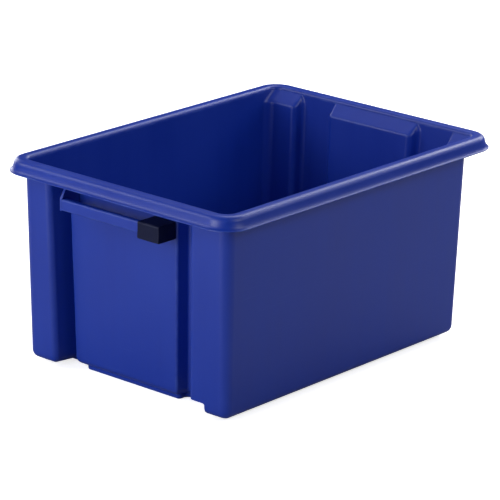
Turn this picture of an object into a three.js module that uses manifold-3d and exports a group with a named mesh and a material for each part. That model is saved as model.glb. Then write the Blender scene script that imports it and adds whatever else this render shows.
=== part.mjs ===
// Stack-and-nest storage bin: a deep moulded tub with a rolled rim, corner posts at end A,
// inset posts at end B and a carrying grip under the rim at each end.
// Frame: millimetres, +Z up, +X along the bin from end A to end B, +Y towards the back wall.
// Origin: middle of the surface that the bin stands on.
// The tub is one moulding. Each node is one of its features, with a joint line between them.

import * as THREE from 'three';
import { mergeVertices } from 'three/addons/utils/BufferGeometryUtils.js';
import Module from 'manifold-3d';

const wasm = await Module();
wasm.setup();

// ---- driving dimensions -------------------------------------------------------------------
const length = 470;            // over the lip of the rim, along X
const width = 340;             // over the lip of the rim, along Y
const height = 240;            // from the base plate to the top of the rim
const wall = 2.6;              // thickness of every moulded wall
const joint = 0.3;             // joint line between neighbouring nodes

const rimReach = 18;           // from the lip inwards to the outer face of the wall
const rimDrop = 15;            // from the top of the rim down to the edge of the lip
const rimEdgeRadius = 7;       // rounding between the top of the rim and its skirt
const rimInnerRadius = 4.5;    // rounding round the mouth of the bin
const skirtInset = 4.5;        // from the lip inwards to the top of the skirt
const lipFlare = 3.4;          // how far the lip turns out below the skirt
const lipRise = 3.6;           // height over which it turns out
const lipEdge = 0.8;           // rounding of its edge
const rimCornerEnd = 4;        // straight stretch at each end of a rim corner

const cornerRadius = 14;       // vertical corners of the wall, outside, at the rim
const cornerTaper = 4;         // by how much they are tighter at the bottom
const endDraft = 9;            // how far an end wall leans in over the full height
const sideDraft = 4.5;         // how far a side wall leans in over the full height
const baseRadius = 9;          // rounding between the walls and the bottom
const baseLift = 5;            // feet and wall bottoms stand this far above the base plate
const trayMargin = 2;          // from the notch's cover up to the cut between base and walls
const endMargin = 2;           // from a recessed panel to the cut between end and sides

const recessA = 34;            // depth of the two channels beside the posts of end A
const panelDepthA = 19;        // depth of the raised panel between those channels
const channelAFront = 34.5;    // from the edge of the front post to the edge of the panel
const channelABack = 14;       // from the edge of the back post to the edge of the panel
const panelSlope = 0.3;        // slant of the panel's sides, per mm that it stands proud
const panelEdgeRadius = 3;     // its vertical edges
const postAFront = 54;         // width of the corner post at the front of end A
const postABack = 41;          // width of the corner post at the back of end A
const recessB = 14.5;          // depth of the recess at end B
const postBWidth = 57;         // width of each inset post of end B, at its root
const postBFrontAt = 31;       // from the front wall to the front post of end B
const postBBackAt = 41;        // from the back wall to the back post of end B
const postSlope = 0.18;        // slant of a post's sides, per mm of its depth
const postEdgeRadius = 8;      // convex vertical edges of the posts
const postRootRadius = 4;      // concave vertical edges at their roots
const ledgeFade = 0.4;         // depth of a recess where its ledge meets the rim
const ledgeSlope = 1.2;        // run of the ledge above a recess, per mm that it drops

const panMargin = 19;          // from a side wall inwards to the lowered part of the base
const panMarginA = 4;          // from the channels of end A inwards to it, beside its tab
const panMarginB = 19;         // from the panel of end B inwards to it, beside its tab
const plateEdge = 19;          // from the cut at an end inwards to the base plate
const panTabSetback = 6;       // from an end panel in to the end of the tab below it
const panTabNotch = 10;        // raised part of the bottom at the back edge of end A's panel
const panTabMargin = 1;        // raised part of the bottom at the other edges of the panels
const panEdgeRadius = 5;       // corners of the lowered part, in plan
const panStepRadius = 2;       // its bottom edge
const heelNotchFrom = 31;      // from the front wall to the notch under the front post
const heelNotchRise = 13;      // height of that notch above the post's foot

const gripFront = 10;          // from the lip inwards to the front of a grip
const gripDepth = 8;           // thickness of a grip bar, front to back
const gripDrop = 31.5;         // from the top of the rim down to the top of a grip
const gripHeight = 13.5;       // height of a grip bar
const gripEdgeRadius = 2.5;    // edges of a grip bar
const gripWeb = 3;             // thickness of the web at a grip's left end
const gripWebRise = 13;        // height of the web's slope, from the bar up to the rim
const gripBlockWidth = 31;     // dark block at a grip's right end, along the end wall
const gripBlockHeight = 19.5;  // its height
const gripBlockEdge = 1.2;     // its chamfers
const gripGap = 0.55;          // between a grip and the panel and ledge behind it
const gripALeft = 12.5;        // from the edge of end A's panel to the grip, at the left
const gripARight = 1;          // from the grip to the edge of the panel, at the right
const gripBLeft = 4.4;         // from the root of the post to the grip of end B, at the left
const gripBRight = 4.8;        // from that grip to the root of the post, at the right

const cornerSteps = 4;         // facets of a vertical corner
const edgeSteps = 3;           // facets of a post's vertical edge
const baseSteps = 3;           // facets of the bottom rounding
const rimSteps = 5;            // facets of a rim corner, in plan
const rimEdgeSteps = 3;        // facets of the rim's outer edge
const cornerShare = 0.48;      // most of an edge that the rounding of one corner may take
const leastRadius = 0.5;       // smallest rounding of a corner that is moved inwards
const past = 1;                // how far a cutting box reaches past what it cuts

// ---- sizes that follow ----------------------------------------------------------------------
const halfLength = length / 2;
const halfWidth = width / 2;
const wallTop = height - rimInnerRadius - joint;
const endX = halfLength - rimReach;
const sideY = halfWidth - rimReach;
const trayTop = baseLift + heelNotchRise + wall + trayMargin;
const gripTop = height - gripDrop;
const floorA = endX - endDraft - recessA;
const panelA = endX - endDraft - panelDepthA;
const panelB = endX - endDraft - recessB;
const panY = sideY - sideDraft - panMargin;
const rimCornerRadius = cornerRadius + rimReach;
const slantA = postSlope * recessA;

const lean = (draft, z) => draft * (1 - z / height);
const ledgeAt = (z) => (wallTop - z) * ledgeSlope + ledgeFade;
const ledgeFoot = (depth) => wallTop - (depth - ledgeFade) / ledgeSlope;
const recessAt = (depth, z) => Math.max(ledgeFade, Math.min(depth, ledgeAt(z)));

// How deep the panel of end A lies at height z: as deep as the channels where its ledge ends.
const panelAt = (z) => Math.min(panelDepthA, recessAt(recessA, z) - ledgeFade / 2);

const finish = {
  blue: { color: 0x2d3d9a, roughness: 0.42, metalness: 0 },
  dark: { color: 0x0c0e24, roughness: 0.5, metalness: 0 },
};

// ---- outlines -------------------------------------------------------------------------------
// An outline is a list of corners { x, y, r, steps }, counter-clockwise seen from above.

const postRoot = { r: postRootRadius, steps: edgeSteps };
const postEdge = { r: postEdgeRadius, steps: edgeSteps };
const panelEdge = { r: panelEdgeRadius, steps: edgeSteps };

// The four corners of an inset post of end B, from its front root to its back root.
function insetPost(face, depth, front) {
  const slant = postSlope * depth;
  const back = front + postBWidth;
  return [
    { x: face - depth, y: front, ...postRoot },
    { x: face, y: front + slant, ...postEdge },
    { x: face, y: back - slant, ...postEdge },
    { x: face - depth, y: back, ...postRoot },
  ];
}

// Outer face of the tub's wall at height z.
function wallOutline(z) {
  const x = endX - lean(endDraft, z);
  const y = sideY - lean(sideDraft, z);
  const a = recessAt(recessA, z);
  const b = recessAt(recessB, z);
  const corner = { r: cornerRadius - lean(cornerTaper, z), steps: cornerSteps };
  const postFrontEnd = -y + postAFront;
  const postBackEnd = y - postABack;
  const slant = postSlope * a;
  const panel = panelAt(z);
  const panelSlant = panelSlope * (a - panel);
  const panelFront = postFrontEnd + channelAFront;
  const panelBack = postBackEnd - channelABack;
  return [
    { x: -x, y: -y, ...corner },
    { x: x - b, y: -y, ...corner },
    ...insetPost(x, b, -y + postBFrontAt),
    ...insetPost(x, b, y - postBBackAt - postBWidth),
    { x: x - b, y, ...corner },
    { x: -x, y, ...corner },
    { x: -x, y: postBackEnd, ...postEdge },
    { x: -x + a, y: postBackEnd - slant, ...postRoot },
    { x: -x + a, y: panelBack + panelSlant, ...panelEdge },
    { x: -x + panel, y: panelBack, ...panelEdge },
    { x: -x + panel, y: panelFront, ...panelEdge },
    { x: -x + a, y: panelFront - panelSlant, ...panelEdge },
    { x: -x + a, y: postFrontEnd + slant, ...postRoot },
    { x: -x, y: postFrontEnd, ...postEdge },
  ];
}

// Lowered part of the base at height z: a rectangle with a tab out to the panel at each end.
function panOutline(z) {
  const rise = endDraft * z / height;
  const xA = -panelA + panTabSetback - rise;
  const xB = panelB - panTabSetback + rise;
  const side = sideY - sideDraft;
  const tabA = [
    -side + postAFront + channelAFront + panTabMargin,
    side - postABack - channelABack - panTabNotch,
  ];
  const tabB = [
    -side + postBFrontAt + postBWidth + panTabMargin,
    side - postBBackAt - postBWidth - panTabMargin,
  ];
  const round = { r: panEdgeRadius, steps: edgeSteps };
  const inA = -floorA + panMarginA;
  const inB = panelB - panMarginB;
  return [
    { x: inA, y: -panY, ...round },
    { x: inB, y: -panY, ...round },
    { x: inB, y: tabB[0], ...round },
    { x: xB, y: tabB[0], ...round },
    { x: xB, y: tabB[1], ...round },
    { x: inB, y: tabB[1], ...round },
    { x: inB, y: panY, ...round },
    { x: inA, y: panY, ...round },
    { x: inA, y: tabA[1], ...round },
    { x: xA, y: tabA[1], ...round },
    { x: xA, y: tabA[0], ...round },
    { x: inA, y: tabA[0], ...round },
  ];
}

function rimOutline(inset) {
  const x = halfLength - inset;
  const y = halfWidth - inset;
  const round = { r: rimCornerRadius - inset, steps: rimSteps };
  return [[-x, -y], [x, -y], [x, y], [-x, y]].map(([px, py]) => ({ x: px, y: py, ...round }));
}

const direction = (from, to) => new THREE.Vector2(to.x - from.x, to.y - from.y).normalize();

// Moves every edge of an outline inwards, and keeps its rounded corners concentric.
function insetOutline(corners, inset) {
  const n = corners.length;
  return corners.map((corner, i) => {
    const before = direction(corners[(i + n - 1) % n], corner);
    const after = direction(corner, corners[(i + 1) % n]);
    const shift = new THREE.Vector2(-before.y - after.y, before.x + after.x);
    shift.multiplyScalar(inset / (1 + before.dot(after)));
    const convex = before.cross(after) > 0;
    const r = Math.max(leastRadius, convex ? corner.r - inset : corner.r + inset);
    return { ...corner, x: corner.x + shift.x, y: corner.y + shift.y, r };
  });
}

// Rounds the corners of an outline with arcs, and gives its points.
function roundedPoints(corners) {
  const n = corners.length;
  const points = [];
  corners.forEach((corner, i) => {
    const last = corners[(i + n - 1) % n];
    const next = corners[(i + 1) % n];
    const before = direction(last, corner);
    const after = direction(corner, next);
    const turn = Math.atan2(before.cross(after), before.dot(after));
    const room = cornerShare * Math.min(
      Math.hypot(corner.x - last.x, corner.y - last.y),
      Math.hypot(next.x - corner.x, next.y - corner.y),
    );
    const half = Math.tan(Math.abs(turn) / 2);
    const r = Math.min(corner.r, room / half);
    const side = Math.sign(turn);
    const start = new THREE.Vector2(corner.x, corner.y).addScaledVector(before, -r * half);
    const centre = new THREE.Vector2(start.x - side * before.y * r, start.y + side * before.x * r);
    const arm = start.clone().sub(centre);
    for (let k = 0; k <= corner.steps; k += 1) {
      const spoke = arm.clone().rotateAround(new THREE.Vector2(), turn * k / corner.steps);
      points.push([centre.x + spoke.x, centre.y + spoke.y]);
    }
  });
  return points;
}

// ---- solids ---------------------------------------------------------------------------------
function geometryFrom(positions, indices) {
  const geometry = new THREE.BufferGeometry();
  geometry.setAttribute('position', new THREE.Float32BufferAttribute(positions, 3));
  geometry.setIndex(indices);
  return geometry;
}

// Joins rings of equal point count into a side surface, one quad between each pair of points.
function bandIndices(ringCount, pointCount, closed) {
  const indices = [];
  const bands = closed ? ringCount : ringCount - 1;
  for (let i = 0; i < bands; i += 1) {
    const low = i * pointCount;
    const high = ((i + 1) % ringCount) * pointCount;
    for (let j = 0; j < pointCount; j += 1) {
      const k = (j + 1) % pointCount;
      indices.push(low + j, low + k, high + k, low + j, high + k, high + j);
    }
  }
  return indices;
}

// Solid through stacked levels { z, corners }, from the lowest to the highest.
function loft(levels) {
  const rings = levels.map(({ z, corners }) => roundedPoints(corners).map(([x, y]) => [x, y, z]));
  const count = rings[0].length;
  const indices = bandIndices(rings.length, count, false);
  const flatten = ([x, y]) => new THREE.Vector2(x, y);
  const cap = (ring) => THREE.ShapeUtils.triangulateShape(ring.map(flatten), []);
  const top = (rings.length - 1) * count;
  cap(rings[0]).forEach(([p, q, r]) => indices.push(p, r, q));
  cap(rings[rings.length - 1]).forEach(([p, q, r]) => indices.push(top + p, top + q, top + r));
  return solid(geometryFrom(rings.flat(2), indices));
}

function solid(geometry) {
  const plain = geometry.index ? geometry.clone() : geometry;
  plain.deleteAttribute('normal');
  plain.deleteAttribute('uv');
  const merged = mergeVertices(plain, 1e-4);
  return new wasm.Manifold(new wasm.Mesh({
    numProp: 3,
    vertProperties: new Float32Array(merged.attributes.position.array),
    triVerts: new Uint32Array(merged.index.array),
  }));
}

// Box between two opposite corners.
function block(low, high) {
  const size = high.map((value, i) => value - low[i]);
  const geometry = new THREE.BoxGeometry(...size);
  geometry.translate(...low.map((value, i) => value + size[i] / 2));
  return solid(geometry);
}

const group = new THREE.Group();

function addMesh(name, geometry, look) {
  const mesh = new THREE.Mesh(geometry, new THREE.MeshStandardMaterial(look));
  mesh.name = name;
  group.add(mesh);
}

function addSolid(name, shape, look = finish.blue) {
  const { vertProperties, triVerts } = shape.getMesh();
  addMesh(name, geometryFrom(Array.from(vertProperties), Array.from(triVerts)), look);
}

// ---- the tub --------------------------------------------------------------------------------
// Levels of the rounded bottom edge: the outline shrinks as the arc turns under.
function bottomLevels(outline, lift, radius, skin) {
  return Array.from({ length: baseSteps + 1 }, (_, k) => {
    const angle = Math.PI / 2 * (1 - k / baseSteps);
    const z = lift + radius - (radius - skin) * Math.sin(angle);
    const inset = radius - (radius - skin) * Math.cos(angle);
    return { z, corners: insetOutline(outline(z), inset) };
  });
}

function wallLevels(skin, top) {
  const ledges = [recessA, panelDepthA, recessB].map(ledgeFoot);
  const heights = [trayTop, ...ledges, wallTop].sort((p, q) => p - q);
  const levels = bottomLevels(wallOutline, baseLift, baseRadius, skin);
  heights.forEach((z) => levels.push({ z, corners: insetOutline(wallOutline(z), skin) }));
  if (top > wallTop) levels.push({ z: top, corners: insetOutline(wallOutline(wallTop), skin) });
  return levels;
}

function panLevels(skin) {
  const high = trayTop - joint;
  return [
    { z: skin, corners: insetOutline(panOutline(0), panStepRadius + skin) },
    { z: panStepRadius + skin, corners: insetOutline(panOutline(panStepRadius), skin) },
    { z: high, corners: insetOutline(panOutline(high), skin) },
  ];
}

// Notch under the inner part of the front corner post of end A, grown by a skin.
function heelNotch(skin) {
  const front = -sideY + sideDraft;
  const root = front + postAFront + slantA + postRootRadius;
  return block(
    [-halfLength, front + heelNotchFrom - skin, -past],
    [-floorA + skin, root, baseLift + heelNotchRise + skin],
  );
}

function tubShell() {
  const outside = loft(wallLevels(0, wallTop)).add(loft(panLevels(0))).subtract(heelNotch(0));
  const inside = loft(wallLevels(wall, wallTop + past)).add(loft(panLevels(wall)));
  return outside.subtract(inside.subtract(heelNotch(wall)));
}

// Splits the tub's shell into its features with vertical and level cuts.
function buildTub() {
  const shell = tubShell();
  const gap = joint / 2;
  const far = length;
  const cutA = -floorA + wall + endMargin;
  const cutB = panelB - wall - endMargin;
  const panelAFront = -sideY + postAFront + slantA + postRootRadius;
  const panelABack = sideY - postABack - slantA - postRootRadius - sideDraft;
  const frontB = -sideY + postBFrontAt - postRootRadius;
  const panelBFront = -sideY + postBFrontAt + postBWidth + postRootRadius + sideDraft;
  const panelBBack = sideY - postBBackAt - postBWidth - postRootRadius - sideDraft;
  const backB = sideY - postBBackAt + postRootRadius;
  const plateY = panY - panEdgeRadius;
  const plateA = cutA + plateEdge;
  const plateB = cutB - plateEdge;
  const ledgeA = ledgeFoot(recessA);
  const ledgeB = ledgeFoot(recessB);

  const regions = {
    base_plate: [[plateA, plateB], [-plateY, plateY], [-past, trayTop]],
    base_edge_front: [[cutA, cutB], [-far, -plateY], [-past, trayTop]],
    base_edge_back: [[cutA, cutB], [plateY, far], [-past, trayTop]],
    base_edge_a: [[cutA, plateA], [-plateY, plateY], [-past, trayTop]],
    base_edge_b: [[plateB, cutB], [-plateY, plateY], [-past, trayTop]],
    base_sill_a: [[-far, cutA], [panelAFront, panelABack], [-past, trayTop]],
    base_sill_b: [[cutB, far], [panelBFront, panelBBack], [-past, trayTop]],
    foot_a_front: [[-far, cutA], [-far, panelAFront], [-past, trayTop]],
    foot_a_back: [[-far, cutA], [panelABack, far], [-past, trayTop]],
    foot_b_front: [[cutB, far], [-far, panelBFront], [-past, trayTop]],
    foot_b_back: [[cutB, far], [panelBBack, far], [-past, trayTop]],
    side_wall_front: [[cutA, cutB], [-far, 0], [trayTop, height]],
    side_wall_back: [[cutA, cutB], [0, far], [trayTop, height]],
    end_a_post_front: [[-far, cutA], [-far, panelAFront], [trayTop, height]],
    end_a_post_back: [[-far, cutA], [panelABack, far], [trayTop, height]],
    end_a_panel: [[-far, cutA], [panelAFront, panelABack], [trayTop, ledgeA]],
    end_a_ledge: [[-far, cutA], [panelAFront, panelABack], [ledgeA, height]],
    end_b_post_front: [[cutB, far], [frontB, panelBFront], [trayTop, height]],
    end_b_post_back: [[cutB, far], [panelBBack, backB], [trayTop, height]],
    end_b_panel: [[cutB, far], [panelBFront, panelBBack], [trayTop, ledgeB]],
    end_b_ledge: [[cutB, far], [panelBFront, panelBBack], [ledgeB, height]],
    end_b_corner_front: [[cutB, far], [-far, frontB], [trayTop, ledgeB]],
    end_b_corner_back: [[cutB, far], [backB, far], [trayTop, ledgeB]],
    end_b_corner_ledge_front: [[cutB, far], [-far, frontB], [ledgeB, height]],
    end_b_corner_ledge_back: [[cutB, far], [backB, far], [ledgeB, height]],
  };
  Object.entries(regions).forEach(([name, ranges]) => {
    const low = ranges.map(([from]) => from + gap);
    const high = ranges.map(([, to]) => to - gap);
    addSolid(name, shell.intersect(block(low, high)));
  });
}

// ---- the rim --------------------------------------------------------------------------------
// Section of the rim: distance inwards from the lip, and height.
function rimSection() {
  const inner = rimReach + wall;
  const lipZ = height - rimDrop;
  const edge = skirtInset + rimEdgeRadius;
  const section = [];
  for (let k = 0; k <= rimEdgeSteps; k += 1) {
    const angle = Math.PI / 2 * k / rimEdgeSteps;
    const s = inner - rimInnerRadius + rimInnerRadius * Math.cos(angle);
    section.push([s, height - rimInnerRadius + rimInnerRadius * Math.sin(angle)]);
  }
  for (let k = 0; k <= rimEdgeSteps; k += 1) {
    const angle = Math.PI / 2 * k / rimEdgeSteps;
    const s = edge - rimEdgeRadius * Math.sin(angle);
    section.push([s, height - rimEdgeRadius + rimEdgeRadius * Math.cos(angle)]);
  }
  section.push([lipFlare, lipZ + lipRise + lipEdge]);
  section.push([lipEdge, lipZ + 2 * lipEdge], [0, lipZ + lipEdge], [lipEdge / 2, lipZ]);
  section.push([lipFlare + wall, lipZ + lipRise], [skirtInset + wall, height - rimEdgeRadius]);
  section.push([edge, height - wall], [inner - rimInnerRadius, height - wall]);
  section.push([rimReach, height - rimInnerRadius]);
  return section;
}

function buildRim() {
  const section = rimSection();
  const rings = section.map(([s, z]) => roundedPoints(rimOutline(s)).map(([x, y]) => [x, y, z]));
  const bands = bandIndices(rings.length, rings[0].length, true).reverse();
  const rim = solid(geometryFrom(rings.flat(2), bands));
  const gap = joint / 2;
  const cutX = halfLength - rimCornerRadius - rimCornerEnd;
  const cutY = halfWidth - rimCornerRadius - rimCornerEnd;
  const spans = {
    low: (cut) => [-length, -cut],
    mid: (cut) => [-cut, cut],
    high: (cut) => [cut, length],
  };
  const pieces = {
    rim_rail_front: ['mid', 'low'],
    rim_rail_back: ['mid', 'high'],
    rim_rail_a: ['low', 'mid'],
    rim_rail_b: ['high', 'mid'],
    rim_corner_a_front: ['low', 'low'],
    rim_corner_a_back: ['low', 'high'],
    rim_corner_b_front: ['high', 'low'],
    rim_corner_b_back: ['high', 'high'],
  };
  Object.entries(pieces).forEach(([name, [alongX, alongY]]) => {
    const [x0, x1] = spans[alongX](cutX);
    const [y0, y1] = spans[alongY](cutY);
    const room = block([x0 + gap, y0 + gap, 0], [x1 - gap, y1 - gap, height + past]);
    addSolid(name, rim.intersect(room));
  });
}

// ---- the grips ------------------------------------------------------------------------------
// Face of an end's panel, or of the ledge above it, from the lip inwards.
const faceA = (z) => rimReach + lean(endDraft, z) + panelAt(z);
const faceB = (z) => rimReach + lean(endDraft, z) + recessAt(recessB, z);

// A polygon of (inset, height) points, extruded along the end wall and set on end A or end B.
function alongEnd(shape, from, to, end) {
  const options = { depth: to - from, bevelEnabled: false, curveSegments: edgeSteps };
  const geometry = new THREE.ExtrudeGeometry(shape, options);
  geometry.translate(0, 0, from);
  const basis = new THREE.Matrix4().makeBasis(
    new THREE.Vector3(1, 0, 0),
    new THREE.Vector3(0, 0, 1),
    new THREE.Vector3(0, -1, 0),
  );
  geometry.applyMatrix4(basis);
  geometry.translate(-halfLength, 0, 0);
  if (end === 'b') geometry.rotateZ(Math.PI);
  geometry.deleteAttribute('normal');
  geometry.deleteAttribute('uv');
  return mergeVertices(geometry, 1e-4);
}

function roundedRect(x0, z0, x1, z1, r) {
  const shape = new THREE.Shape();
  shape.moveTo(x0 + r, z0);
  shape.lineTo(x1 - r, z0);
  shape.absarc(x1 - r, z0 + r, r, -Math.PI / 2, 0);
  shape.lineTo(x1, z1 - r);
  shape.absarc(x1 - r, z1 - r, r, 0, Math.PI / 2);
  shape.lineTo(x0 + r, z1);
  shape.absarc(x0 + r, z1 - r, r, Math.PI / 2, Math.PI);
  shape.lineTo(x0, z0 + r);
  shape.absarc(x0 + r, z0 + r, r, Math.PI, 1.5 * Math.PI);
  return shape;
}

const polygon = (points) => new THREE.Shape(points.map(([x, y]) => new THREE.Vector2(x, y)));

// The grip reaches from start to stop along its end, rightwards seen from outside.
// The panel behind it has the given face, and its ledge begins at the given height.
function buildGrip(end, face, ledge, start, stop) {
  const bottom = gripTop - gripHeight;
  const clear = (z) => face(z) - gripGap;
  const barStart = start + gripWeb + joint;
  const blockStart = stop - gripBlockWidth;
  const barEnd = blockStart - joint;

  const barShape = roundedRect(gripFront, bottom, gripFront + gripDepth, gripTop, gripEdgeRadius);
  addMesh(`grip_${end}_bar`, alongEnd(barShape, barStart, barEnd, end), finish.blue);

  // The web closes the left end of the finger gap, from the bar back to the panel and the rim.
  const neck = rimReach - joint;
  const underRim = wallTop - joint;
  const web = polygon([
    [gripFront, bottom],
    [clear(bottom), bottom],
    [clear(ledge), ledge - joint],
    [clear(underRim), underRim],
    [neck, underRim],
    [neck, gripTop + gripWebRise],
    [gripFront, gripTop],
  ]);
  addMesh(`grip_${end}_web`, alongEnd(web, start, start + gripWeb, end), finish.blue);

  const blockBottom = gripTop - gripBlockHeight;
  const c = gripBlockEdge;
  const endBlock = polygon([
    [gripFront + c, blockBottom],
    [clear(blockBottom), blockBottom],
    [clear(gripTop), gripTop],
    [gripFront + c, gripTop],
    [gripFront, gripTop - c],
    [gripFront, blockBottom + c],
  ]);
  addMesh(`grip_${end}_block`, alongEnd(endBlock, blockStart, stop, end), finish.dark);
}

// A grip is placed between the edges of the panel, or the roots of the posts, beside it.
function buildGrips() {
  const side = sideY - lean(sideDraft, gripTop);
  const leftA = -side + postABack + channelABack;
  const rightA = side - postAFront - channelAFront;
  buildGrip('a', faceA, ledgeFoot(panelDepthA), leftA + gripALeft, rightA - gripARight);
  const leftB = -side + postBFrontAt + postBWidth;
  const rightB = side - postBBackAt - postBWidth;
  buildGrip('b', faceB, ledgeFoot(recessB), leftB + gripBLeft, rightB - gripBRight);
}

buildTub();
buildRim();
buildGrips();

export default group;
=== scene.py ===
"""Looks of a stack-and-nest storage bin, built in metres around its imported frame."""

import logging
import math
from dataclasses import dataclass, field
from enum import Enum

import bmesh
import bpy
import numpy as np
from mathutils import Matrix, Vector


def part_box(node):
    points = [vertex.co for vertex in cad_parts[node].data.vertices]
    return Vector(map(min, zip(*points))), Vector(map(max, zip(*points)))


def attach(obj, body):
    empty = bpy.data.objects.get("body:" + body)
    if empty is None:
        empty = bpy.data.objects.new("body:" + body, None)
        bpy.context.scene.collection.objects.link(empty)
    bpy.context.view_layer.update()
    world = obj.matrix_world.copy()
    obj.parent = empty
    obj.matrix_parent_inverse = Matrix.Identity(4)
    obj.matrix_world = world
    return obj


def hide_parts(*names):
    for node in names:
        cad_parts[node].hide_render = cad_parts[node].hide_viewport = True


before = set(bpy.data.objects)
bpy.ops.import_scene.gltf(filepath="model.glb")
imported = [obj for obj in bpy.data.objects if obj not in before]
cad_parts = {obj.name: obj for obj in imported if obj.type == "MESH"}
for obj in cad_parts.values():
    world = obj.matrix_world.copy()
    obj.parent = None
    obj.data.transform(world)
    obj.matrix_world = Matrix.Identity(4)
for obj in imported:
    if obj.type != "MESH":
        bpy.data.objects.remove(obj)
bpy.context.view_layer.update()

LOG = logging.getLogger("storage_bin")
MM = 0.001
BODY = "root"

# A rounding keeps at least this reach, and takes at most this share of the shorter edge beside it.
LEAST_REACH = 0.3 * MM
REACH_SHARE = 0.48

# Points closer than this are one point, on a new mesh and on a copy of a packed one.
MERGE_DISTANCE = 1e-7
CAD_MERGE_DISTANCE = 1e-6


class Slot(Enum):
    """Material slots of the record."""

    BLUE = "blue_plastic"
    # Slot of the near-black painted shade on the grip's block, which stands in for a shadowed pocket.
    DARK = "dark_plastic"


class End(Enum):
    """The two short ends of the bin, by the letter in the names of their nodes."""

    A = "a"
    B = "b"


@dataclass(frozen=True)
class Corner:
    """A corner of an outline and the distance over which it is rounded, both ways."""

    x: float
    y: float
    reach: float


Outline = list[Corner]
Point = tuple[float, float, float]


# ---- outlines ---------------------------------------------------------------------------------
def turn_at(corners: Outline, index: int) -> tuple[Vector, Vector, float]:
    """Directions of the two edges that meet at a corner, and the angle between them.

    Args:
        corners: The outline, counter-clockwise.
        index: Place of the corner in it.

    Returns:
        Unit direction of the edge before, of the edge after, and the turn in radians.
    """
    last, here = corners[index - 1], corners[index]
    after_here = corners[(index + 1) % len(corners)]
    before = Vector((here.x - last.x, here.y - last.y)).normalized()
    after = Vector((after_here.x - here.x, after_here.y - here.y)).normalized()
    angle = math.atan2(before.x * after.y - before.y * after.x, before.dot(after))
    return before, after, angle


def inset(corners: Outline, distance: float) -> Outline:
    """Moves every edge of an outline inwards.

    Args:
        corners: The outline, counter-clockwise.
        distance: How far its edges move, negative for outwards.

    Returns:
        The new outline, with its rounded corners kept concentric.
    """
    moved = []
    for index, corner in enumerate(corners):
        before, after, angle = turn_at(corners, index)
        shift = Vector((-before.y - after.y, before.x + after.x)) * (distance / (1 + before.dot(after)))
        reach = max(LEAST_REACH, corner.reach - distance * math.tan(angle / 2))
        moved.append(Corner(corner.x + shift.x, corner.y + shift.y, reach))
    return moved


def rounded(corners: Outline, steps: int) -> list[tuple[float, float]]:
    """Rounds every corner of an outline with an arc.

    Args:
        corners: The outline.
        steps: Edges of each arc.

    Returns:
        The outline's points, with the same count at every corner.
    """
    points = []
    count = len(corners)
    for index, corner in enumerate(corners):
        before, after, angle = turn_at(corners, index)
        last, following = corners[index - 1], corners[(index + 1) % count]
        room = REACH_SHARE * min(
            math.hypot(corner.x - last.x, corner.y - last.y),
            math.hypot(following.x - corner.x, following.y - corner.y),
        )
        reach = min(corner.reach, room)
        tip = Vector((corner.x, corner.y))
        start, stop = tip - before * reach, tip + after * reach
        weight = math.cos(angle / 2)
        for k in range(steps + 1):
            t = k / steps
            parts = ((1 - t) ** 2, 2 * t * (1 - t) * weight, t**2)
            spot = (start * parts[0] + tip * parts[1] + stop * parts[2]) / sum(parts)
            points.append((spot.x, spot.y))
    return points


# ---- mesh helpers -----------------------------------------------------------------------------
def mesh_object(name: str, points: list[Point], faces: list[tuple[int, ...]]) -> bpy.types.Object:
    """Makes a mesh object in the scene.

    Args:
        name: Name of the object and its mesh.
        points: Vertices, in metres.
        faces: Vertex numbers of each face.

    Returns:
        The object, at the origin.
    """
    mesh = bpy.data.meshes.new(name)
    mesh.from_pydata(points, [], faces)
    mesh.validate()
    made = bpy.data.objects.new(name, mesh)
    bpy.context.scene.collection.objects.link(made)
    return made


def loft(name: str, levels: list[tuple[Outline, float]], steps: int) -> bpy.types.Object:
    """Makes a closed solid through outlines that all have the same number of corners.

    Args:
        name: Name of the object.
        levels: Outline and height of each ring, in the order of the surface.
        steps: Edges of each rounded corner.

    Returns:
        The solid, with its faces turned outwards.
    """
    rings = [[(x, y, z) for x, y in rounded(corners, steps)] for corners, z in levels]
    count = len(rings[0])
    points = [point for ring in rings for point in ring]
    faces: list[tuple[int, ...]] = [tuple(reversed(range(count)))]
    for level in range(len(rings) - 1):
        low, high = level * count, (level + 1) * count
        for j in range(count):
            k = (j + 1) % count
            faces.append((low + j, low + k, high + k, high + j))
    top = (len(rings) - 1) * count
    faces.append(tuple(range(top, top + count)))
    made = mesh_object(name, points, faces)
    face_outwards(made)
    return made


def face_outwards(piece: bpy.types.Object) -> None:
    """Triangulates the large caps of a closed mesh and turns its faces outwards."""
    work = bmesh.new()
    work.from_mesh(piece.data)
    bmesh.ops.remove_doubles(work, verts=work.verts, dist=MERGE_DISTANCE)
    bmesh.ops.triangulate(work, faces=[f for f in work.faces if len(f.verts) > 4])
    bmesh.ops.recalc_face_normals(work, faces=work.faces)
    work.to_mesh(piece.data)
    work.free()


def combine(piece: bpy.types.Object, tool: bpy.types.Object, operation: str) -> None:
    """Joins a tool to a piece, or cuts it away, and removes the tool.

    Args:
        piece: Closed mesh that is changed.
        tool: Closed mesh that is used up.
        operation: UNION, DIFFERENCE or INTERSECT.
    """
    step = piece.modifiers.new("cut", "BOOLEAN")
    step.operation, step.solver, step.object = operation, "MANIFOLD", tool
    apply_modifiers(piece)
    bpy.data.objects.remove(tool)


def apply_modifiers(piece: bpy.types.Object) -> None:
    """Replaces a piece's mesh by its evaluated mesh and clears its modifiers."""
    graph = bpy.context.evaluated_depsgraph_get()
    graph.update()
    baked = bpy.data.meshes.new_from_object(
        piece.evaluated_get(graph), preserve_all_data_layers=True, depsgraph=graph
    )
    piece.modifiers.clear()
    old, piece.data = piece.data, baked
    baked.name = piece.name
    bpy.data.meshes.remove(old)


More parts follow.
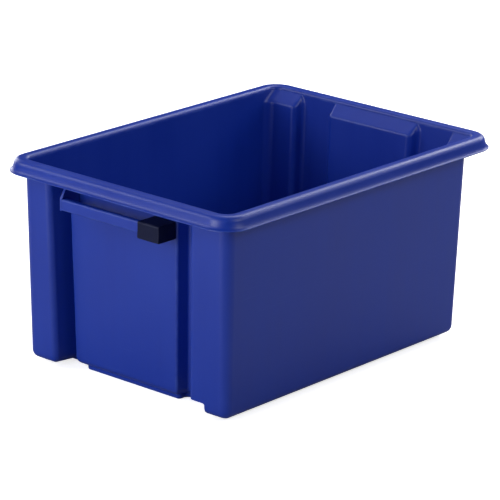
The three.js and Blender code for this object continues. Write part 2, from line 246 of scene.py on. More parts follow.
def smooth(piece: bpy.types.Object, angle: float = 32.0) -> None:
    """Shades a piece smooth up to an angle, with flat faces kept flat by their area."""
    piece.data.shade_smooth()
    piece.data.set_sharp_from_angle(angle=math.radians(angle))
    weighted = piece.modifiers.new("face_weight", "WEIGHTED_NORMAL")
    weighted.keep_sharp = True
    weighted.weight = 50
    apply_modifiers(piece)


def arc(count: int, start: float, stop: float) -> list[tuple[float, float]]:
    """Cosine and sine of evenly spaced angles, given in degrees."""
    angles = np.radians(np.linspace(start, stop, count))
    return [(float(np.cos(a)), float(np.sin(a))) for a in angles]


def soft_min(first: float, second: float, blend: float) -> float:
    """The smaller of two values, with the change-over rounded across a blend width."""
    mix = max(0.0, blend - abs(first - second)) / blend
    return min(first, second) - mix * mix * blend / 4


# ---- sizes ------------------------------------------------------------------------------------
@dataclass
class TubSizes:
    """Sizes of the moulding, in metres, and its slopes. The overall sizes come from the frame."""

    half_length: float = field(default_factory=lambda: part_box("rim_rail_b")[1].x)
    half_width: float = field(default_factory=lambda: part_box("rim_rail_back")[1].y)
    height: float = field(default_factory=lambda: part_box("rim_rail_front")[1].z)
    wall: float = 2.6 * MM
    rim_reach: float = 18 * MM
    rim_drop: float = 15 * MM
    rim_inner_radius: float = 4.5 * MM
    corner_radius: float = 14 * MM
    corner_taper: float = 4 * MM
    end_draft: float = 9 * MM
    side_draft: float = 4.5 * MM
    base_radius: float = 9 * MM
    base_lift: float = 5 * MM
    recess_a: float = 34 * MM
    panel_depth_a: float = 19 * MM
    channel_a_front: float = 34.5 * MM
    channel_a_back: float = 14 * MM
    panel_slope: float = 0.3
    panel_reach: float = 2.6 * MM
    post_a_front: float = 54 * MM
    post_a_back: float = 41 * MM
    recess_b: float = 14.5 * MM
    post_b_width: float = 57 * MM
    post_b_front_at: float = 31 * MM
    post_b_back_at: float = 41 * MM
    post_slope: float = 0.18
    edge_reach: float = 6.7 * MM
    root_reach: float = 3.4 * MM
    ledge_slope: float = 1.2
    ledge_blend: float = 1.6 * MM
    pan_margin: float = 19 * MM
    pan_margin_a: float = 4 * MM
    pan_margin_b: float = 19 * MM
    pan_tab_setback: float = 6 * MM
    pan_tab_notch: float = 10 * MM
    pan_tab_margin: float = 1 * MM
    pan_corner: float = 5 * MM
    pan_step_radius: float = 2 * MM
    pan_top: float = 22 * MM
    heel_notch_from: float = 31 * MM
    heel_notch_rise: float = 13 * MM
    heel_corner: float = 2.5 * MM
    heel_reach_down: float = 10 * MM

    @property
    def wall_top(self) -> float:
        """Height at which the wall meets the underside of the rim."""
        return self.height - self.rim_inner_radius

    @property
    def end_x(self) -> float:
        """Outer face of the end walls at the rim."""
        return self.half_length - self.rim_reach

    @property
    def side_y(self) -> float:
        """Outer face of the side walls at the rim."""
        return self.half_width - self.rim_reach

    @property
    def floor_a(self) -> float:
        """Distance of end A's channels from the middle, at the base."""
        return self.end_x - self.end_draft - self.recess_a

    @property
    def panel_a(self) -> float:
        """Distance of end A's panel from the middle, at the base."""
        return self.end_x - self.end_draft - self.panel_depth_a

    @property
    def panel_b(self) -> float:
        """Distance of end B's recessed panel from the middle, at the base."""
        return self.end_x - self.end_draft - self.recess_b


# ---- the tub ----------------------------------------------------------------------------------
@dataclass
class Tub:
    """The deep body of the bin: walls, posts, ledges and base, in one skin."""

    sizes: TubSizes
    steps: int = 8
    base_steps: int = 7
    wall_rows: int = 6
    ledge_rows: int = 26
    small_points: int = 5
    pan_steps: int = 5
    heel_steps: int = 4

    NODES = (
        "base_plate base_edge_front base_edge_back base_edge_a base_edge_b base_sill_a base_sill_b "
        "foot_a_front foot_a_back foot_b_front foot_b_back side_wall_front side_wall_back "
        "end_a_post_front end_a_post_back end_a_panel end_a_ledge "
        "end_b_post_front end_b_post_back end_b_panel end_b_ledge "
        "end_b_corner_front end_b_corner_back end_b_corner_ledge_front end_b_corner_ledge_back"
    ).split()

    def post(self, x: float, depth: float, full: float, start: float, width: float) -> Outline:
        """Four corners of an inset post of end B, from front to back."""
        slant = self.sizes.post_slope * full
        root, edge = self.sizes.root_reach, self.sizes.edge_reach
        return [
            Corner(x - depth, start, root),
            Corner(x, start + slant, edge),
            Corner(x, start + width - slant, edge),
            Corner(x - depth, start + width, root),
        ]

    def recess(self, depth: float, z: float) -> float:
        """Depth of a recess at a height: full below its ledge, nothing at the rim."""
        s = self.sizes
        return soft_min(depth, max(0.0, s.wall_top - z) * s.ledge_slope, s.ledge_blend)

    def outline(self, z: float) -> Outline:
        """Outer face of the wall at a height."""
        s = self.sizes
        below = 1 - z / s.height
        x, y = s.end_x - s.end_draft * below, s.side_y - s.side_draft * below
        a, b = max(0.0, self.recess(s.recess_a, z)), max(0.0, self.recess(s.recess_b, z))
        panel = min(a, max(0.0, self.recess(s.panel_depth_a, z)))
        slant = s.post_slope * s.recess_a
        lean = s.panel_slope * (s.recess_a - s.panel_depth_a)
        front, back = -y + s.post_a_front, y - s.post_a_back
        low, high = front + s.channel_a_front, back - s.channel_a_back
        root, edge, side = s.root_reach, s.edge_reach, s.panel_reach
        corner = s.corner_radius - s.corner_taper * below
        return [
            Corner(-x, -y, corner),
            Corner(x - b, -y, corner),
            *self.post(x, b, s.recess_b, -y + s.post_b_front_at, s.post_b_width),
            *self.post(x, b, s.recess_b, y - s.post_b_back_at - s.post_b_width, s.post_b_width),
            Corner(x - b, y, corner),
            Corner(-x, y, corner),
            Corner(-x, back, edge),
            Corner(-x + a, back - slant, root),
            Corner(-x + a, high + lean, side),
            Corner(-x + panel, high, side),
            Corner(-x + panel, low, side),
            Corner(-x + a, low - lean, side),
            Corner(-x + a, front + slant, root),
            Corner(-x, front, edge),
        ]

    def pan_outline(self, z: float) -> Outline:
        """Lowered part of the base at a height: a rectangle with a tab out to each panel."""
        s = self.sizes
        rise = s.end_draft * z / s.height
        x_a = -s.panel_a + s.pan_tab_setback - rise
        x_b = s.panel_b - s.pan_tab_setback + rise
        side = s.side_y - s.side_draft
        y = side - s.pan_margin
        in_a, in_b = -s.floor_a + s.pan_margin_a, s.panel_b - s.pan_margin_b
        low_a = -side + s.post_a_front + s.channel_a_front + s.pan_tab_margin
        high_a = side - s.post_a_back - s.channel_a_back - s.pan_tab_notch
        low_b = -side + s.post_b_front_at + s.post_b_width + s.pan_tab_margin
        high_b = side - s.post_b_back_at - s.post_b_width - s.pan_tab_margin
        spots = [
            (in_a, -y), (in_b, -y), (in_b, low_b), (x_b, low_b), (x_b, high_b), (in_b, high_b),
            (in_b, y), (in_a, y), (in_a, high_a), (x_a, high_a), (x_a, low_a), (in_a, low_a),
        ]
        return [Corner(px, py, s.pan_corner) for px, py in spots]

    def levels(self, skin: float) -> list[tuple[Outline, float]]:
        """Rings of the wall from the base to the rim.

        Args:
            skin: 0 for the outer face, the wall's thickness for the inner one.

        Returns:
            Outline and height of each ring.
        """
        s = self.sizes
        radius = s.base_radius
        rings = []
        for cosine, sine in arc(self.base_steps + 1, 90, 0):
            z = s.base_lift + radius - (radius - skin) * sine
            rings.append((inset(self.outline(z), radius - (radius - skin) * cosine), z))
        top = s.base_lift + radius
        lowest_ledge = s.wall_top - (s.recess_a + s.ledge_blend) / s.ledge_slope
        heights = [
            *np.linspace(top, lowest_ledge, self.wall_rows + 1)[1:],
            *np.linspace(lowest_ledge, s.wall_top, self.ledge_rows + 1)[1:],
        ]
        rings += [(inset(self.outline(float(z)), skin), float(z)) for z in heights]
        return rings

    def pan(self, name: str, skin: float) -> bpy.types.Object:
        """Solid that lowers the base, at its outer face or inside the wall's thickness."""
        s = self.sizes
        radius = s.pan_step_radius
        rings = []
        for cosine, sine in arc(self.small_points, 90, 0):
            z = skin + radius - radius * sine
            rings.append((inset(self.pan_outline(z), skin + radius - radius * cosine), z))
        rings.append((inset(self.pan_outline(s.pan_top), skin), s.pan_top))
        return loft(name, rings, self.pan_steps)

    def heel(self, name: str, skin: float) -> bpy.types.Object:
        """Solid of the notch under the front post of end A, grown by a skin."""
        s = self.sizes
        side = s.side_y - s.side_draft
        low_y = -side + s.heel_notch_from - skin
        high_y = -side + s.post_a_front + s.post_slope * s.recess_a + s.root_reach
        low_x, high_x = -s.half_length, -s.floor_a + skin
        top = s.base_lift + s.heel_notch_rise + skin
        spots = [(low_x, low_y), (high_x, low_y), (high_x, high_y), (low_x, high_y)]
        radius = s.heel_corner
        corners = [Corner(x, y, radius) for x, y in spots]
        rings = [(corners, -s.heel_reach_down), (corners, top - radius)]
        for cosine, sine in arc(self.small_points, 0, 90)[1:]:
            rings.append((inset(corners, radius - radius * cosine), top - radius + radius * sine))
        return loft(name, rings, self.heel_steps)

    def build(self) -> bpy.types.Object:
        """Makes the tub's skin.

        Returns:
            One closed mesh.
        """
        s = self.sizes
        tub = loft("tub", self.levels(0.0) + self.levels(s.wall)[::-1], self.steps)
        combine(tub, self.pan("pan_outside", 0.0), "UNION")
        shelf = self.heel("heel_shelf", s.wall)
        combine(shelf, loft("outside", self.levels(0.0), self.steps), "INTERSECT")
        combine(tub, shelf, "UNION")
        inside = self.pan("pan_inside", s.wall)
        combine(inside, self.heel("heel_keep", s.wall), "DIFFERENCE")
        combine(tub, inside, "DIFFERENCE")
        combine(tub, self.heel("heel_cut", 0.0), "DIFFERENCE")
        smooth(tub)
        return tub


# ---- node trees -------------------------------------------------------------------------------
class Nodes:
    """The nodes of one tree and the links between them."""

    def __init__(self, tree: bpy.types.NodeTree) -> None:
        """Takes the tree that the nodes go into."""
        self.tree = tree

    def add(self, kind: str, **values: object) -> bpy.types.Node:
        """Adds a node and sets its properties."""
        node = self.tree.nodes.new(kind)
        for key, value in values.items():
            setattr(node, key, value)
        return node

    def feed(self, source: object, into: bpy.types.NodeSocket) -> None:
        """Links an output to an input, or sets the input to a plain value."""
        if isinstance(source, bpy.types.NodeSocket):
            self.tree.links.new(source, into)
        else:
            into.default_value = source

    def math(self, operation: str, *terms: object) -> bpy.types.NodeSocket:
        """Adds a Math node on sockets or numbers and returns its result."""
        node = self.add("ShaderNodeMath", operation=operation)
        for term, socket in zip(terms, node.inputs):
            self.feed(term, socket)
        return node.outputs[0]

    def noise(self, scale: object, stretch: Point, detail: float) -> bpy.types.NodeSocket:
        """Adds noise on the object's own coordinates.

        Args:
            scale: Cells per metre, a number or a socket.
            stretch: Factor on the scale along X, Y and Z.
            detail: Octaves of finer noise.

        Returns:
            The noise, from 0 to 1.
        """
        mapping = self.add("ShaderNodeMapping")
        self.feed(self.add("ShaderNodeTexCoord").outputs["Object"], mapping.inputs["Vector"])
        self.feed(stretch, mapping.inputs["Scale"])
        texture = self.add("ShaderNodeTexNoise")
        self.feed(mapping.outputs[0], texture.inputs["Vector"])
        self.feed(scale, texture.inputs["Scale"])
        self.feed(detail, texture.inputs["Detail"])
        return texture.outputs[0]

    def step(self, value: object, low: float, high: float) -> bpy.types.NodeSocket:
        """Rises smoothly from 0 to 1 as a value goes from low to high."""
        node = self.add("ShaderNodeMapRange", interpolation_type="SMOOTHSTEP")
        self.feed(value, node.inputs["Value"])
        self.feed(low, node.inputs["From Min"])
        self.feed(high, node.inputs["From Max"])
        return node.outputs[0]

    def blend(self, amount: object, first: object, second: object) -> bpy.types.NodeSocket:
        """Mixes two colours."""
        node = self.add("ShaderNodeMix", data_type="RGBA")
        colours = [socket for socket in node.inputs if socket.type == "RGBA"]
        self.feed(amount, node.inputs[0])
        self.feed(first, colours[0])
        self.feed(second, colours[1])
        return next(socket for socket in node.outputs if socket.type == "RGBA")


class NodeTree(Nodes):
    """A Geometry Nodes tree under construction."""

    def __init__(self, name: str) -> None:
        """Starts a tree with a geometry input and output."""
        super().__init__(bpy.data.node_groups.new(name, "GeometryNodeTree"))
        self.tree.is_modifier = True
        self.tree.interface.new_socket("Geometry", in_out="INPUT", socket_type="NodeSocketGeometry")
        self.tree.interface.new_socket("Geometry", in_out="OUTPUT", socket_type="NodeSocketGeometry")
        self.source = self.add("NodeGroupInput")
        self.sink = self.add("NodeGroupOutput")

    def input(self, name: str, kind: str = "NodeSocketFloat") -> None:
        """Adds a named input."""
        self.tree.interface.new_socket(name, in_out="INPUT", socket_type=kind)

    def run(self, piece: bpy.types.Object, values: dict[str, object]) -> None:
        """Runs the tree on a piece and keeps the result as its mesh.

        Args:
            piece: Object that the tree works on.
            values: Value of each named input.
        """
        modifier = piece.modifiers.new(self.tree.name, "NODES")
        modifier.node_group = self.tree
        for item in self.tree.interface.items_tree:
            if item.item_type == "SOCKET" and item.in_out == "INPUT" and item.name in values:
                modifier[item.identifier] = values[item.name]
        apply_modifiers(piece)


class ShaderGroup(Nodes):
    """A shader node group that several materials share."""

    def __init__(self, name: str, inputs: dict[str, float], outputs: tuple[str, ...]) -> None:
        """Starts a group with named number inputs and outputs."""
        super().__init__(bpy.data.node_groups.new(name, "ShaderNodeTree"))
        face = self.tree.interface
        for label, value in inputs.items():
            socket = face.new_socket(label, in_out="INPUT", socket_type="NodeSocketFloat")
            socket.default_value = value
        for label in outputs:
            face.new_socket(label, in_out="OUTPUT", socket_type="NodeSocketFloat")
        self.source = self.add("NodeGroupInput").outputs
        self.sink = self.add("NodeGroupOutput").inputs

    def place(self, nodes: Nodes, values: dict[str, float]) -> bpy.types.Node:
        """Puts the group into a material with values of that material."""
        node = nodes.add("ShaderNodeGroup", node_tree=self.tree)
        for label, value in values.items():
            nodes.feed(value, node.inputs[label])
        return node


def rim_tree() -> NodeTree:
    """Sweeps a section round a rounded rectangle. The section is the piece's own outline."""
    tree = NodeTree("rim_sweep")
    for name in ("Length", "Width", "Corner Radius"):
        tree.input(name)
    tree.input("Corner Steps", "NodeSocketInt")
    tree.input("Material", "NodeSocketMaterial")
    section = tree.add("GeometryNodeMeshToCurve")
    path = tree.add("GeometryNodeCurvePrimitiveQuadrilateral")
    fillet = tree.add("GeometryNodeFilletCurve")
    if hasattr(fillet, "mode"):
        fillet.mode = "POLY"
    sweep = tree.add("GeometryNodeCurveToMesh")
    real = tree.add("GeometryNodeRealizeInstances")
    paint = tree.add("GeometryNodeSetMaterial")
    tree.feed(tree.source.outputs["Geometry"], section.inputs[0])
    tree.feed(tree.source.outputs["Length"], path.inputs["Width"])
    tree.feed(tree.source.outputs["Width"], path.inputs["Height"])
    tree.feed(path.outputs[0], fillet.inputs["Curve"])
    tree.feed(tree.source.outputs["Corner Radius"], fillet.inputs["Radius"])
    tree.feed(tree.source.outputs["Corner Steps"], fillet.inputs["Count"])
    tree.feed(fillet.outputs[0], sweep.inputs["Curve"])
    tree.feed(section.outputs[0], sweep.inputs["Profile Curve"])
    tree.feed(sweep.outputs[0], real.inputs[0])
    tree.feed(real.outputs[0], paint.inputs["Geometry"])
    tree.feed(tree.source.outputs["Material"], paint.inputs["Material"])
    tree.feed(paint.outputs[0], tree.sink.inputs[0])
    return tree


# ---- the rim ----------------------------------------------------------------------------------
@dataclass
class Rim:
    """The rolled rim: a flat top, a skirt and a small lip turned out at its foot."""

    sizes: TubSizes
    edge_radius: float = 7 * MM
    skirt_inset: float = 4.5 * MM
    lip_flare: float = 3.4 * MM
    lip_rise: float = 3.6 * MM
    lip_wall_share: float = 0.8
    bend_inset: float = 0.2 * MM
    bend_width: float = 0.9 * MM
    bend_above: float = 1 * MM
    bend_below: float = 0.8 * MM
    edge_points: int = 9
    corner_steps: int = 20
    smooth_angle: float = 40.0

    # Points round the lip's edge, in mm: how far in from it and how far above its foot.
    LIP = ((0.9, 1.7), (0.1, 1.2), (0.0, 0.5), (0.5, 0.0), (1.6, 0.3))

    NODES = (
        "rim_rail_front rim_rail_back rim_rail_a rim_rail_b "
        "rim_corner_a_front rim_corner_a_back rim_corner_b_front rim_corner_b_back"
    ).split()

    def section(self) -> list[tuple[float, float]]:
        """Closed section: distance inwards from the lip, and height."""
        s = self.sizes
        inner, under = s.rim_reach + s.wall, s.height - s.wall
        foot = s.height - s.rim_drop
        bend = foot + self.lip_rise
        r, big = s.rim_inner_radius, self.edge_radius
        edge, hollow = self.skirt_inset + big, self.lip_flare - self.bend_inset
        quarter = arc(self.edge_points, 0, 90)
        spots = [(inner - r + r * c, s.height - r + r * k) for c, k in quarter]
        spots += [(edge - big * k, s.height - big + big * c) for c, k in quarter]
        spots += [(hollow, bend + self.bend_above), (hollow - self.bend_width, bend - self.bend_below)]
        spots += [(reach * MM, foot + rise * MM) for reach, rise in self.LIP]
        spots += [(self.lip_flare + self.lip_wall_share * s.wall, bend)]
        spots += [(self.skirt_inset + s.wall, s.height - big), (edge, under)]
        spots += [(inner - r, under), (s.rim_reach, s.height - r)]
        return spots

    def build(self, material: bpy.types.Material) -> bpy.types.Object:
        """Sweeps the section round the bin.

        Args:
            material: Material of the rim.

        Returns:
            One closed mesh.
        """
        s = self.sizes
        spots = self.section()
        outline = bpy.data.meshes.new("rim_section")
        edges = [(i, (i + 1) % len(spots)) for i in range(len(spots))]
        outline.from_pydata([(-reach, -z, 0.0) for reach, z in spots], edges, [])
        rim = bpy.data.objects.new("rim", outline)
        bpy.context.scene.collection.objects.link(rim)
        rim_tree().run(rim, {
            "Length": 2 * s.half_length, "Width": 2 * s.half_width,
            "Corner Radius": s.corner_radius + s.rim_reach, "Corner Steps": self.corner_steps,
            "Material": material,
        })
        face_outwards(rim)
        smooth(rim, self.smooth_angle)
        return rim


# ---- the grips --------------------------------------------------------------------------------
@dataclass
class Grip:
    """A carrying grip, seen from outside: bar, web at its left end, and at its right a block coloured
    near-black as painted shade for the shadowed pocket there.
    """

    end: End
    bar_overlap: float = 1.0 * MM
    web_edge: float = 0.5 * MM
    block_edge: float = 0.8 * MM
    bevel_segments: int = 4
    bevel_from_angle: float = 30.0
    flat_angle: float = 2.0
    smooth_angle: float = 45.0

    def node(self, part: str) -> str:
        """Name of one of the grip's nodes."""
        return f"grip_{self.end.value}_{part}"

    def shell(self, part: str, bevel: float, grow: float) -> bpy.types.Object:
        """Rounded copy of one of the grip's nodes.

        Args:
            part: bar, web or block.
            bevel: Width of its rounded edges.
            grow: How far it reaches into its neighbours, along the end.

        Returns:
            One closed mesh.
        """
        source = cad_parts[self.node(part)]
        made = bpy.data.objects.new(f"{self.node(part)}_skin", source.data.copy())
        bpy.context.scene.collection.objects.link(made)
        work = bmesh.new()
        work.from_mesh(made.data)
        bmesh.ops.remove_doubles(work, verts=work.verts, dist=CAD_MERGE_DISTANCE)
        flat = math.radians(self.flat_angle)
        bmesh.ops.dissolve_limit(work, angle_limit=flat, verts=work.verts, edges=work.edges)
        middle = sum((v.co.y for v in work.verts), 0.0) / len(work.verts)
        for vertex in work.verts:
            vertex.co.y += math.copysign(grow, vertex.co.y - middle)
        work.to_mesh(made.data)
        work.free()
        made.data.materials.clear()
        if bevel:
            step = made.modifiers.new("round", "BEVEL")
            step.width, step.segments, step.limit_method = bevel, self.bevel_segments, "ANGLE"
            step.angle_limit = math.radians(self.bevel_from_angle)
            apply_modifiers(made)
        smooth(made, self.smooth_angle)
        return made


# ---- finishes ---------------------------------------------------------------------------------
EDGE_ATTRIBUTE = "edge"
SLIVER_AREA = 1e-10

# How noise is stretched along X, Y and Z: the same each way, into upright streaks, into level lines.
EVEN = (1.0, 1.0, 1.0)
UPRIGHT = (1.0, 1.0, 0.02)
LEVEL = (1.0, 1.0, 45.0)


def mark_edges(piece: bpy.types.Object, blunt: float = 1 / (14 * MM), sharp: float = 1 / (2 * MM)) -> None:
    """Writes how sharply each point bends outwards: 0 on flats and in hollows, 1 on tight edges. This masks
    handling wear and a painted highlight along convex edges.

    Args:
        piece: The finished mesh.
        blunt: Curvature, in 1/m, below which an edge takes no wear and no painted highlight.
        sharp: Curvature at which it takes all of it.
    """
    work = bmesh.new()
    work.from_mesh(piece.data)
    bends = np.zeros(len(work.verts))
    work.verts.index_update()
    for edge in work.edges:
        if len(edge.link_faces) != 2:
            continue
        area = sum(face.calc_area() for face in edge.link_faces)
        angle = edge.calc_face_angle_signed(0.0)
        if area < SLIVER_AREA or angle <= 0:
            continue
        bend = 2 * angle * edge.calc_length() / area
        for vertex in edge.verts:
            bends[vertex.index] = max(bends[vertex.index], bend)
    work.free()
    share = np.clip((bends - blunt) / (sharp - blunt), 0.0, 1.0)
    attribute = piece.data.attributes.new(EDGE_ATTRIBUTE, "FLOAT", "POINT")
    attribute.data.foreach_set("value", share.astype(np.float32))


def grain_group() -> ShaderGroup:
    """Texture of the mould's face: a fine spark-eroded grain over a soft unevenness."""
    group = ShaderGroup("moulded_grain", {"Grain": 1500.0, "Swell": 70.0, "Swell Share": 0.5}, ("Height",))
    grain = group.noise(group.source["Grain"], stretch=EVEN, detail=2.0)
    swell = group.noise(group.source["Swell"], stretch=(1.0, 1.0, 0.5), detail=1.0)
    share = group.source["Swell Share"]
    fine = group.math("MULTIPLY", grain, group.math("SUBTRACT", 1.0, share))
    group.feed(group.math("MULTIPLY_ADD", swell, share, fine), group.sink["Height"])
    return group


def flow_group() -> ShaderGroup:
    """Marks of the plastic's flow: faint upright streaks and cloudy patches."""
    group = ShaderGroup("flow_marks", {"Streaks": 90.0, "Clouds": 9.0}, ("Streak", "Cloud"))
    streak = group.noise(group.source["Streaks"], stretch=UPRIGHT, detail=2.0)
    cloud = group.noise(group.source["Clouds"], stretch=(1.0, 1.0, 0.7), detail=3.0)
    group.feed(group.step(streak, low=0.3, high=0.7), group.sink["Streak"])
    group.feed(group.step(cloud, low=0.3, high=0.7), group.sink["Cloud"])
    return group


def wear_and_highlight_group() -> ShaderGroup:
    """Handling wear and painted highlight: lighter rubbed edges, which also paint the highlight along convex
    edges, and thin level scuffs where bins slide on each other.
    """
    group = ShaderGroup("wear_and_edge_highlight", {"Patches": 60.0, "Scuffs": 14.0}, ("Edge", "Scuff"))
    outward_bend = group.add("ShaderNodeAttribute", attribute_name=EDGE_ATTRIBUTE).outputs["Fac"]
    patches = group.noise(group.source["Patches"], stretch=EVEN, detail=4.0)
    patches = group.step(patches, low=0.35, high=0.7)
    group.feed(group.math("MULTIPLY", outward_bend, patches), group.sink["Edge"])
    lines = group.noise(group.source["Scuffs"], stretch=LEVEL, detail=3.0)
    lines = group.step(lines, low=0.62, high=0.72)
    places = group.noise(group.source["Scuffs"], stretch=(0.8, 0.8, 0.8), detail=1.0)
    places = group.step(places, low=0.5, high=0.7)
    group.feed(group.math("MULTIPLY", lines, places), group.sink["Scuff"])
    return group


@dataclass(frozen=True)
class Effects:
    """The shader groups that the plastics share."""

    grain: ShaderGroup
    flow: ShaderGroup
    wear_and_highlight: ShaderGroup


@dataclass(frozen=True)
class Plastic:
    """A moulded plastic: its colours, gloss and surface."""

    name: str
    colour: tuple[float, float, float]
    cloudy: tuple[float, float, float]
    # Lighter colour on edges and scuffs: partly handling wear, partly a painted highlight along convex edges.
    rubbed_and_highlit: tuple[float, float, float]
    roughness: float
    specular: float
    grain: float
    swell_share: float
    relief: float
    streak_share: float = 0.35
    scuff_share: float = 0.35
    scuff_depth: float = 0.3
    patch_roughness: float = 0.07
    rubbed_roughness: float = 0.14
    bump_strength: float = 0.35

    def build(self, effects: Effects) -> bpy.types.Material:
        """Makes the material.

        Args:
            effects: Shader groups to place in it.

        Returns:
            The material, with its detail in colour, roughness and bump.
        """
        material = bpy.data.materials.new(self.name)
        material.use_nodes = True
        nodes = Nodes(material.node_tree)
        shader = material.node_tree.nodes["Principled BSDF"]
        flow = effects.flow.place(nodes, {})
        wear_and_highlight = effects.wear_and_highlight.place(nodes, {})
        grain = effects.grain.place(nodes, {"Grain": self.grain, "Swell Share": self.swell_share})

        streaky = nodes.math("MULTIPLY", flow.outputs["Streak"], self.streak_share)
        patchy = nodes.math("MULTIPLY_ADD", flow.outputs["Cloud"], 1 - self.streak_share, streaky)
        base = nodes.blend(patchy, (*self.colour, 1.0), (*self.cloudy, 1.0))
        scuffed = nodes.math("MULTIPLY", wear_and_highlight.outputs["Scuff"], self.scuff_share)
        # Edges and scuffs lighten: wear, and along edges also a painted highlight.
        rubbed_and_highlit = nodes.math("MAXIMUM", wear_and_highlight.outputs["Edge"], scuffed)
        nodes.feed(nodes.blend(rubbed_and_highlit, base, (*self.rubbed_and_highlit, 1.0)), shader.inputs["Base Color"])

        smoothest = self.roughness - self.patch_roughness / 2
        rough = nodes.math("MULTIPLY_ADD", patchy, self.patch_roughness, smoothest)
        rough = nodes.math("MULTIPLY_ADD", rubbed_and_highlit, self.rubbed_roughness, rough)
        nodes.feed(rough, shader.inputs["Roughness"])
        shader.inputs["Specular IOR Level"].default_value = self.specular

        bump = nodes.add("ShaderNodeBump")
        bump.inputs["Strength"].default_value = self.bump_strength
        bump.inputs["Distance"].default_value = self.relief
        height = nodes.math("MULTIPLY_ADD", wear_and_highlight.outputs["Scuff"], -self.scuff_depth, grain.outputs["Height"])
        nodes.feed(height, bump.inputs["Height"])
        nodes.feed(bump.outputs[0], shader.inputs["Normal"])
        return material


BLUE = Plastic(
    name="blue_polypropylene",
    colour=(0.003, 0.028, 0.325),
    cloudy=(0.004, 0.034, 0.36),
    # Edge colour: partly wear, partly painted highlight on convex edges.
    rubbed_and_highlit=(0.03, 0.075, 0.42),
    roughness=0.4,
    specular=0.5,
    grain=1500.0,
    swell_share=0.85,
    relief=0.06 * MM,
)
# Near-black painted shade: the grip's block takes this colour in place of the shadowed pocket at the bar's
# right end.
DARK = Plastic(
    name="grip_pocket_painted_shade",
    colour=(0.003, 0.005, 0.028),
    cloudy=(0.004, 0.007, 0.036),
    rubbed_and_highlit=(0.02, 0.024, 0.06),
    roughness=0.5,
    specular=0.16,
    grain=1100.0,
    swell_share=0.5,
    relief=0.08 * MM,
)


def dress(piece: bpy.types.Object, material: bpy.types.Material, nodes: list[str]) -> None:
    """Gives a piece its material and ties it to the frame.

    Args:
        piece: The finished piece.
        material: Its material.
        nodes: CAD nodes that the piece replaces.
    """
    piece.data.materials.clear()
    piece.data.materials.append(material)
    mark_edges(piece)
    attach(piece, BODY)
    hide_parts(*nodes)
    LOG.info("%s: %d faces", piece.name, len(piece.data.polygons))


# ---- studio -----------------------------------------------------------------------------------
@dataclass(frozen=True)
class Lamp:
    """A square soft light."""

    name: str
    spot: Point
    size: float
    watts: float


LAMPS = (
    Lamp("left_box", (-1.6, 0.1, 1.2), 0.9, 2.2),
    Lamp("left_low_box", (-1.8, 0.2, 0.45), 0.8, 15.5),
    Lamp("front_box", (0.1, -1.6, 1.2), 0.9, 9.6),
    Lamp("front_right_box", (1.4, -1.3, 1.3), 0.9, 4.0),
    Lamp("right_box", (1.7, 0.0, 1.2), 0.9, 20.0),
    Lamp("high_right_box", (0.8, 0.3, 1.7), 0.8, 10.0),
    Lamp("back_low_box", (0.4, 1.8, 0.5), 0.8, 11.0),
    Lamp("back_left_box", (-1.3, 1.4, 1.3), 0.9, 10.5),
    Lamp("back_high_box", (0.2, 0.9, 1.7), 0.8, 2.0),
)


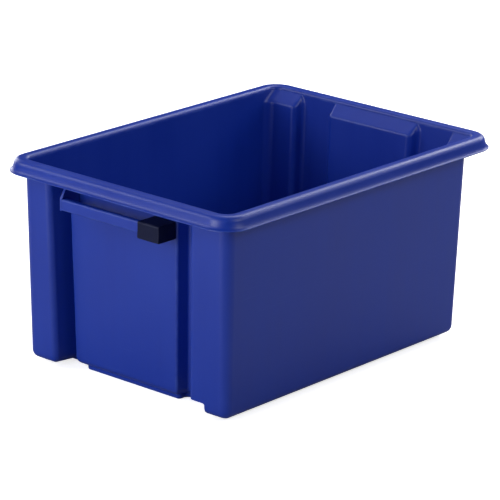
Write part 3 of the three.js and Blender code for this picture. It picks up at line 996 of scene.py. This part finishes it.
@dataclass
class Studio:
    """Pale floor, soft light and the camera. Angles are in degrees."""

    azimuth: float = -49.46
    elevation: float = 18.15
    roll: float = 1.255
    distance: float = 3.596
    target: Point = (-0.0107, -0.0073, 0.1205)
    lens: float = 229.1
    sensor: float = 36.0
    near: float = 0.1
    far: float = 50.0
    floor_size: float = 6.0
    floor_white: float = 0.95
    floor_bounce: float = 0.5
    floor_glow: float = 0.75
    floor_roughness: float = 0.9
    world_light: float = 0.02
    aim_height: float = 0.12

    def camera(self) -> None:
        """Sets the camera."""
        turn, lift, roll = (math.radians(v) for v in (self.azimuth, self.elevation, self.roll))
        back = Vector((math.sin(turn) * math.cos(lift), -math.cos(turn) * math.cos(lift), math.sin(lift)))
        right = Vector((math.cos(turn), math.sin(turn), 0))
        up = back.cross(right)
        tilted = right * math.cos(roll) + up * math.sin(roll)
        upright = up * math.cos(roll) - right * math.sin(roll)
        data = bpy.data.cameras.new("camera")
        data.lens, data.sensor_width = self.lens, self.sensor
        data.dof.use_dof = False
        data.clip_start, data.clip_end = self.near, self.far
        made = bpy.data.objects.new("camera", data)
        bpy.context.scene.collection.objects.link(made)
        basis = Matrix((tilted, upright, back)).transposed().to_4x4()
        made.matrix_world = Matrix.Translation(Vector(self.target) + back * self.distance) @ basis
        bpy.context.scene.camera = made

    def floor(self) -> None:
        """Makes the floor: near white to look at, with little light thrown back up."""
        size = self.floor_size
        spots = [(-size, -size, 0), (size, -size, 0), (size, size, 0), (-size, size, 0)]
        floor = mesh_object("floor", spots, [(0, 1, 2, 3)])
        material = bpy.data.materials.new("pale_floor")
        material.use_nodes = True
        nodes, links = material.node_tree.nodes, material.node_tree.links
        shader = nodes["Principled BSDF"]
        shader.inputs["Roughness"].default_value = self.floor_roughness
        shader.inputs["Specular IOR Level"].default_value = 0.0
        path, mix = nodes.new("ShaderNodeLightPath"), nodes.new("ShaderNodeMix")
        mix.data_type = "RGBA"
        grey, white = self.floor_bounce, self.floor_white
        mix.inputs["A"].default_value = (grey, grey, grey, 1)
        mix.inputs["B"].default_value = (white, white, white, 1)
        links.new(path.outputs["Is Camera Ray"], mix.inputs["Factor"])
        links.new(mix.outputs["Result"], shader.inputs["Base Color"])
        glow = nodes.new("ShaderNodeMath")
        glow.operation = "MULTIPLY"
        glow.inputs[1].default_value = self.floor_glow
        links.new(path.outputs["Is Camera Ray"], glow.inputs[0])
        shader.inputs["Emission Color"].default_value = (1, 1, 1, 1)
        links.new(glow.outputs[0], shader.inputs["Emission Strength"])
        floor.data.materials.append(material)

    def light(self, lamp: Lamp) -> None:
        """Adds a square soft light that looks at the bin."""
        data = bpy.data.lights.new(lamp.name, "AREA")
        data.size, data.energy = lamp.size, lamp.watts
        made = bpy.data.objects.new(lamp.name, data)
        bpy.context.scene.collection.objects.link(made)
        made.location = lamp.spot
        aim = Vector((0, 0, self.aim_height)) - Vector(lamp.spot)
        made.rotation_euler = aim.to_track_quat("-Z", "Y").to_euler()

    def backdrop(self) -> None:
        """Sets a world that is white to look at and throws little light."""
        world = bpy.data.worlds.new("studio")
        world.use_nodes = True
        nodes, links = world.node_tree.nodes, world.node_tree.links
        sky = nodes["Background"]
        sky.inputs["Color"].default_value = (1, 1, 1, 1)
        path, power = nodes.new("ShaderNodeLightPath"), nodes.new("ShaderNodeMapRange")
        power.inputs["To Min"].default_value = self.world_light
        power.inputs["To Max"].default_value = 1.0
        links.new(path.outputs["Is Camera Ray"], power.inputs["Value"])
        links.new(power.outputs["Result"], sky.inputs["Strength"])
        bpy.context.scene.world = world

    def build(self) -> None:
        """Sets the whole stage."""
        self.camera()
        self.floor()
        self.backdrop()
        for lamp in LAMPS:
            self.light(lamp)
        bpy.context.scene.view_settings.view_transform = "Standard"


def main() -> None:
    """Builds the bin and its stage."""
    logging.basicConfig(level=logging.INFO)
    sizes = TubSizes()
    effects = Effects(grain_group(), flow_group(), wear_and_highlight_group())
    blue, painted_shade = BLUE.build(effects), DARK.build(effects)
    dress(Tub(sizes).build(), blue, Tub.NODES)
    dress(Rim(sizes).build(blue), blue, Rim.NODES)
    for end in End:
        grip = Grip(end)
        dress(grip.shell("bar", 0.0, grip.bar_overlap), blue, [grip.node("bar")])
        dress(grip.shell("web", grip.web_edge, 0.0), blue, [grip.node("web")])
        # The grip's block carries the painted shade of its pocket.
        dress(grip.shell("block", grip.block_edge, 0.0), painted_shade, [grip.node("block")])
    Studio().build()


if __name__ == "__main__":
    main()
